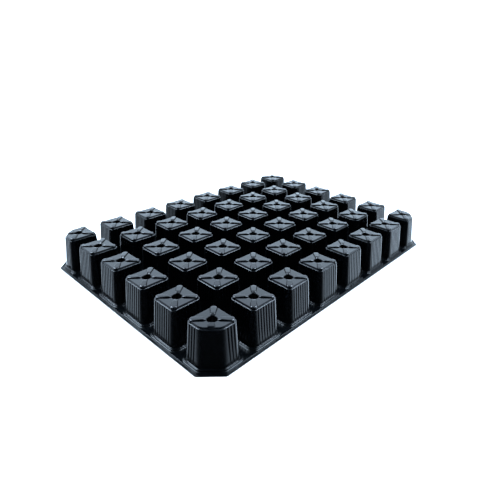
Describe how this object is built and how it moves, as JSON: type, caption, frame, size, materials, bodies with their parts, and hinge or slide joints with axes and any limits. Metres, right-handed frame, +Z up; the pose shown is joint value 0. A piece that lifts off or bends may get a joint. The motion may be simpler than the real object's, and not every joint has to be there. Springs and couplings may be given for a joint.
{
  "type": "plug tray",
  "caption": "Black plastic seedling plug tray lying on its rim: rows of square tapered fluted cells with drain ridges and a hole on each closed end.",
  "frame": {"origin": "centre of the rectangle that the rim covers, on the rim plane that the tray lies on", "axes": "+X along the longer side, +Y along the shorter side, +Z up towards the closed ends of the cells"},
  "size_m": [0.4, 0.3, 0.0435],
  "materials": {
    "cell_plastic": "black moulded polystyrene, satin gloss, fine vertical flutes on the walls",
    "deck_plastic": "black moulded polystyrene, satin gloss, smooth"
  },
  "bodies": {
    "root": {"cell_a1": "cell_plastic", "cell_a2": "cell_plastic", "cell_a3": "cell_plastic", "cell_a4": "cell_plastic", "cell_a5": "cell_plastic", "cell_a6": "cell_plastic", "cell_b1": "cell_plastic", "cell_b2": "cell_plastic", "cell_b3": "cell_plastic", "cell_b4": "cell_plastic", "cell_b5": "cell_plastic", "cell_b6": "cell_plastic", "cell_c1": "cell_plastic", "cell_c2": "cell_plastic", "cell_c3": "cell_plastic", "cell_c4": "cell_plastic", "cell_c5": "cell_plastic", "cell_c6": "cell_plastic", "cell_d1": "cell_plastic", "cell_d2": "cell_plastic", "cell_d3": "cell_plastic", "cell_d4": "cell_plastic", "cell_d5": "cell_plastic", "cell_d6": "cell_plastic", "cell_e1": "cell_plastic", "cell_e2": "cell_plastic", "cell_e3": "cell_plastic", "cell_e4": "cell_plastic", "cell_e5": "cell_plastic", "cell_e6": "cell_plastic", "cell_f1": "cell_plastic", "cell_f2": "cell_plastic", "cell_f3": "cell_plastic", "cell_f4": "cell_plastic", "cell_f5": "cell_plastic", "cell_f6": "cell_plastic", "cell_g1": "cell_plastic", "cell_g2": "cell_plastic", "cell_g3": "cell_plastic", "cell_g4": "cell_plastic", "cell_g5": "cell_plastic", "cell_g6": "cell_plastic", "cell_h1": "cell_plastic", "cell_h2": "cell_plastic", "cell_h3": "cell_plastic", "cell_h4": "cell_plastic", "cell_h5": "cell_plastic", "cell_h6": "cell_plastic", "deck_strips": "deck_plastic", "deck_bridges": "deck_plastic", "rim_front": "deck_plastic", "rim_right": "deck_plastic", "rim_back": "deck_plastic", "rim_left": "deck_plastic", "rim_corners": "deck_plastic"}
  },
  "joints": []
}
